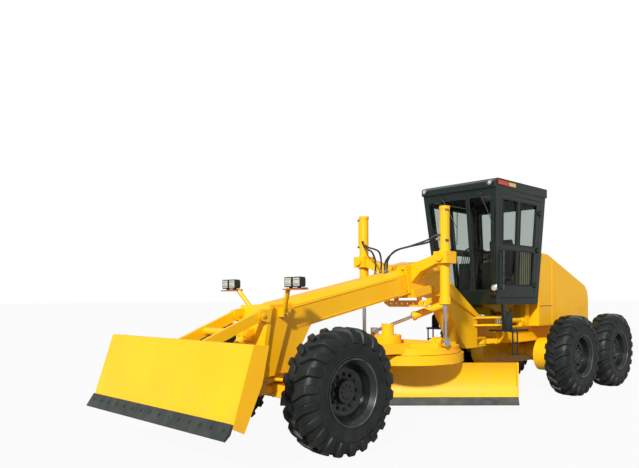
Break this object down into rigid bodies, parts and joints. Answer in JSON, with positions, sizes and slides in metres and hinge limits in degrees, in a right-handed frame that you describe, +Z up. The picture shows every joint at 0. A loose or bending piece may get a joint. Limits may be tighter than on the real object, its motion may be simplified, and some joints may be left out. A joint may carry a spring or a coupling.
{
  "type": "motor grader",
  "caption": "Motor grader with a hinged frame, tandem rear wheels, leaning steered front wheels, a turning mouldboard under a gooseneck beam and a front dozer blade.",
  "frame": {"origin": "on the ground under the middle of the machine's length and width", "axes": "+X forward, +Y towards the machine's left side, +Z up"},
  "size_m": [9.262, 2.7, 3.473],
  "materials": {
    "yellow_paint": "satin",
    "dark_paint": "satin",
    "window_glass": "gloss",
    "engine_iron": "matte",
    "seat_cover": "matte",
    "console_plastic": "matte",
    "hose_rubber": "satin",
    "polished_rod": "gloss",
    "edge_steel": "satin",
    "rim_paint": "satin",
    "tyre_rubber": "matte"
  },
  "bodies": {
    "rear_frame": {"rear_frame": "yellow_paint", "rail_left": "yellow_paint", "rail_right": "yellow_paint", "drive_axle": "yellow_paint", "engine_block": "engine_iron", "hood": "yellow_paint", "hood_rear": "yellow_paint", "hood_side_left": "yellow_paint", "hood_side_right": "yellow_paint", "cab_frame": "dark_paint", "cab_roof": "dark_paint", "cab_glass": "window_glass", "seat": "seat_cover", "console": "console_plastic", "steps": "dark_paint", "artic_barrels": "yellow_paint"},
    "front_frame": {"front_frame": "yellow_paint", "lift_saddle": "yellow_paint", "lift_barrels": "yellow_paint", "work_lamps": "dark_paint", "hoses": "hose_rubber", "front_axle": "yellow_paint"},
    "artic_rod_left": {"artic_rod_left": "polished_rod"},
    "lean_left": {"lean_left": "yellow_paint"},
    "knuckle_left": {"knuckle_left": "yellow_paint"},
    "door_left": {"door_left": "dark_paint", "door_glass_left": "window_glass"},
    "wheel_front_left": {"rim_front_left": "rim_paint", "tyre_front_left": "tyre_rubber"},
    "wheel_mid_left": {"rim_mid_left": "rim_paint", "tyre_mid_left": "tyre_rubber"},
    "wheel_rear_left": {"rim_rear_left": "rim_paint", "tyre_rear_left": "tyre_rubber"},
    "artic_rod_right": {"artic_rod_right": "polished_rod"},
    "lean_right": {"lean_right": "yellow_paint"},
    "knuckle_right": {"knuckle_right": "yellow_paint"},
    "door_right": {"door_right": "dark_paint", "door_glass_right": "window_glass"},
    "wheel_front_right": {"rim_front_right": "rim_paint", "tyre_front_right": "tyre_rubber"},
    "wheel_mid_right": {"rim_mid_right": "rim_paint", "tyre_mid_right": "tyre_rubber"},
    "wheel_rear_right": {"rim_rear_right": "rim_paint", "tyre_rear_right": "tyre_rubber"},
    "lean_bar": {"lean_bar": "yellow_paint"},
    "tie_rod": {"tie_rod": "polished_rod"},
    "drawbar": {"drawbar": "yellow_paint"},
    "circle": {"circle": "yellow_paint"},
    "mouldboard": {"mouldboard": "yellow_paint", "mouldboard_edge": "edge_steel"},
    "lift_rods": {"lift_rods": "polished_rod"},
    "shift_barrel": {"shift_barrel": "yellow_paint"},
    "shift_rod": {"shift_rod": "polished_rod"},
    "dozer_arms": {"dozer_arms": "yellow_paint"},
    "dozer_links": {"dozer_links": "yellow_paint"},
    "dozer_blade": {"dozer_blade": "yellow_paint", "dozer_edge": "edge_steel"},
    "dozer_barrel": {"dozer_barrel": "yellow_paint"},
    "dozer_rod": {"dozer_rod": "polished_rod"}
  },
  "joints": [
    {"name": "articulation", "type": "hinge", "parent": "rear_frame", "child": "front_frame", "pos_m": [-1.236, 0, 1], "axis": [0, 0, 1], "range_deg": [-25, 25]},
    {"name": "artic_rod_slide_left", "type": "slide", "parent": "rear_frame", "child": "artic_rod_left", "axis": [1, 0, 0], "range_m": [-0.158, 0.158]},
    {"name": "artic_rod_slide_right", "type": "slide", "parent": "rear_frame", "child": "artic_rod_right", "axis": [1, 0, 0], "range_m": [-0.158, 0.158]},
    {"name": "wheel_lean_left", "type": "hinge", "parent": "front_frame", "child": "lean_left", "pos_m": [3.014, 0.74, 0.5], "axis": [1, 0, 0], "range_deg": [-18, 18]},
    {"name": "wheel_lean_right", "type": "hinge", "parent": "front_frame", "child": "lean_right", "pos_m": [3.014, -0.74, 0.5], "axis": [1, 0, 0], "range_deg": [-18, 18]},
    {"name": "lean_bar_slide", "type": "slide", "parent": "front_frame", "child": "lean_bar", "axis": [0, 1, 0], "range_m": [-0.076, 0.076]},
    {"name": "steer_left", "type": "hinge", "parent": "lean_left", "child": "knuckle_left", "pos_m": [3.014, 0.86, 0.675], "axis": [0, 0, 1], "range_deg": [-40, 40]},
    {"name": "steer_right", "type": "hinge", "parent": "lean_right", "child": "knuckle_right", "pos_m": [3.014, -0.86, 0.675], "axis": [0, 0, 1], "range_deg": [-40, 40]},
    {"name": "tie_rod_slide", "type": "slide", "parent": "front_frame", "child": "tie_rod", "axis": [0, 1, 0], "range_m": [-0.133, 0.133]},
    {"name": "wheel_spin_front_left", "type": "hinge", "parent": "knuckle_left", "child": "wheel_front_left", "pos_m": [3.014, 1.076, 0.675], "axis": [0, 1, 0], "continuous": true},
    {"name": "wheel_spin_mid_left", "type": "hinge", "parent": "rear_frame", "child": "wheel_mid_left", "pos_m": [-2.416, 1.076, 0.675], "axis": [0, 1, 0], "continuous": true},
    {"name": "wheel_spin_rear_left", "type": "hinge", "parent": "rear_frame", "child": "wheel_rear_left", "pos_m": [-3.956, 1.076, 0.675], "axis": [0, 1, 0], "continuous": true},
    {"name": "wheel_spin_front_right", "type": "hinge", "parent": "knuckle_right", "child": "wheel_front_right", "pos_m": [3.014, -1.076, 0.675], "axis": [0, 1, 0], "continuous": true},
    {"name": "wheel_spin_mid_right", "type": "hinge", "parent": "rear_frame", "child": "wheel_mid_right", "pos_m": [-2.416, -1.076, 0.675], "axis": [0, 1, 0], "continuous": true},
    {"name": "wheel_spin_rear_right", "type": "hinge", "parent": "rear_frame", "child": "wheel_rear_right", "pos_m": [-3.956, -1.076, 0.675], "axis": [0, 1, 0], "continuous": true},
    {"name": "drawbar_pitch", "type": "hinge", "parent": "front_frame", "child": "drawbar", "pos_m": [2.714, 0, 1], "axis": [0, -1, 0], "range_deg": [-8, 11]},
    {"name": "lift_rod_slide", "type": "slide", "parent": "front_frame", "child": "lift_rods", "axis": [0, 0, -1], "range_m": [-0.278, 0.3825]},
    {"name": "shift_barrel_swing", "type": "hinge", "parent": "front_frame", "child": "shift_barrel", "pos_m": [0.144, 0.33, 1.56], "axis": [0.6219, 0.7806, -0.0628], "range_deg": [-12, 16.5]},
    {"name": "shift_rod_slide", "type": "slide", "parent": "shift_barrel", "child": "shift_rod", "axis": [0.72, -0.6015, -0.3463], "range_m": [-0.084, 0.1155]},
    {"name": "circle_turn", "type": "hinge", "parent": "drawbar", "child": "circle", "pos_m": [0.614, 0, 0.75], "axis": [0, 0, 1], "continuous": true},
    {"name": "blade_side_shift", "type": "slide", "parent": "circle", "child": "mouldboard", "axis": [-0.6691, 0.7431, 0], "range_m": [-0.4, 0.6]},
    {"name": "door_swing_left", "type": "hinge", "parent": "rear_frame", "child": "door_left", "pos_m": [-2.05708, 0.6445, 2.4], "axis": [-0.0134, 0.0713, 0.9974], "range_deg": [0, 90]},
    {"name": "door_swing_right", "type": "hinge", "parent": "rear_frame", "child": "door_right", "pos_m": [-2.05708, -0.6445, 2.4], "axis": [0.0134, 0.0713, -0.9974], "range_deg": [0, 90]},
    {"name": "dozer_lift", "type": "hinge", "parent": "front_frame", "child": "dozer_arms", "pos_m": [3.509, 0, 0.86], "axis": [0, 1, 0], "range_deg": [-10, 39]},
    {"name": "dozer_link_swing", "type": "hinge", "parent": "front_frame", "child": "dozer_links", "pos_m": [3.404, 0, 1.46], "axis": [0, 1, 0], "range_deg": [-10, 39]},
    {"name": "dozer_blade_level", "type": "hinge", "parent": "dozer_arms", "child": "dozer_blade", "pos_m": [4.244, 0, 0.56], "axis": [0, 1, 0], "range_deg": [-39, 10]},
    {"name": "dozer_barrel_swing", "type": "hinge", "parent": "front_frame", "child": "dozer_barrel", "pos_m": [3.444, 0, 1.24], "axis": [0, 1, 0], "range_deg": [-6.4, 24.8]},
    {"name": "dozer_rod_slide", "type": "slide", "parent": "dozer_barrel", "child": "dozer_rod", "axis": [0.7207, 0, -0.6932], "range_m": [-0.0298, 0.1158]}
  ],
  "couplings": [
    {"joint": "artic_rod_slide_left", "follows": "articulation", "m_per_rad": -0.36},
    {"joint": "artic_rod_slide_right", "follows": "articulation", "m_per_rad": 0.36},
    {"joint": "wheel_lean_right", "follows": "wheel_lean_left", "ratio": 1},
    {"joint": "lean_bar_slide", "follows": "wheel_lean_left", "m_per_rad": -0.24},
    {"joint": "steer_right", "follows": "steer_left", "ratio": 1},
    {"joint": "tie_rod_slide", "follows": "steer_left", "m_per_rad": -0.19},
    {"joint": "lift_rod_slide", "follows": "drawbar_pitch", "m_per_rad": 1.99},
    {"joint": "shift_barrel_swing", "follows": "drawbar_pitch", "ratio": 1.5},
    {"joint": "shift_rod_slide", "follows": "drawbar_pitch", "m_per_rad": 0.6},
    {"joint": "dozer_link_swing", "follows": "dozer_lift", "ratio": 1},
    {"joint": "dozer_blade_level", "follows": "dozer_lift", "ratio": -1},
    {"joint": "dozer_barrel_swing", "follows": "dozer_lift", "ratio": 0.635},
    {"joint": "dozer_rod_slide", "follows": "dozer_lift", "m_per_rad": 0.17}
  ]
}
